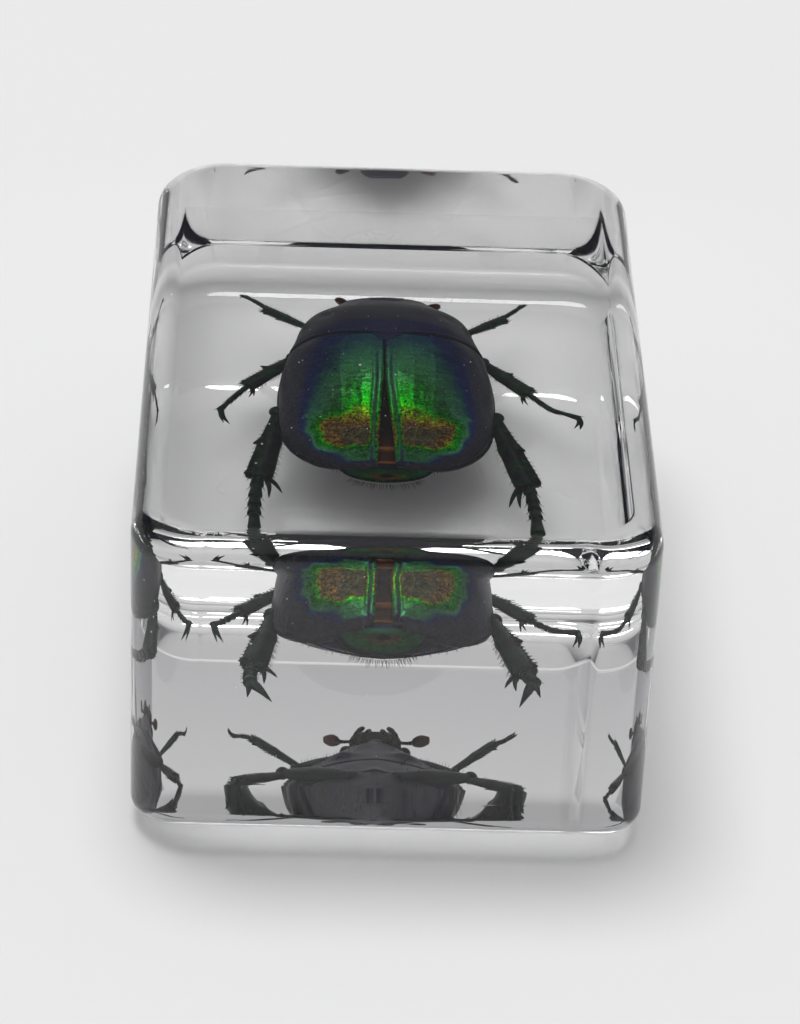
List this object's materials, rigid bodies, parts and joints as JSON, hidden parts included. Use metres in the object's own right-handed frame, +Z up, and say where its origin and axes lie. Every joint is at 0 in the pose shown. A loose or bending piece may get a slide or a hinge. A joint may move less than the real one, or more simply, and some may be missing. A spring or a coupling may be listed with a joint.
{
  "type": "insect in resin block",
  "caption": "Clear rounded cast-resin block with a metallic green chafer beetle, legs spread, sealed inside; rests flat as a paperweight.",
  "frame": {"origin": "middle of the block's underside", "axes": "+Z up through the flat top face, +Y along the block's length towards the beetle's head, +X across the width"},
  "size_m": [0.029, 0.044, 0.0211],
  "materials": {
    "beetle": "iridescent green beetle shell, nearly black at the margins, head and legs",
    "clear_resin": "polished clear cast resin, no tint, refractive index about 1.5"
  },
  "bodies": {
    "root": {"beetle": "beetle", "resin_lower": "clear_resin", "resin_upper": "clear_resin"}
  },
  "joints": []
}
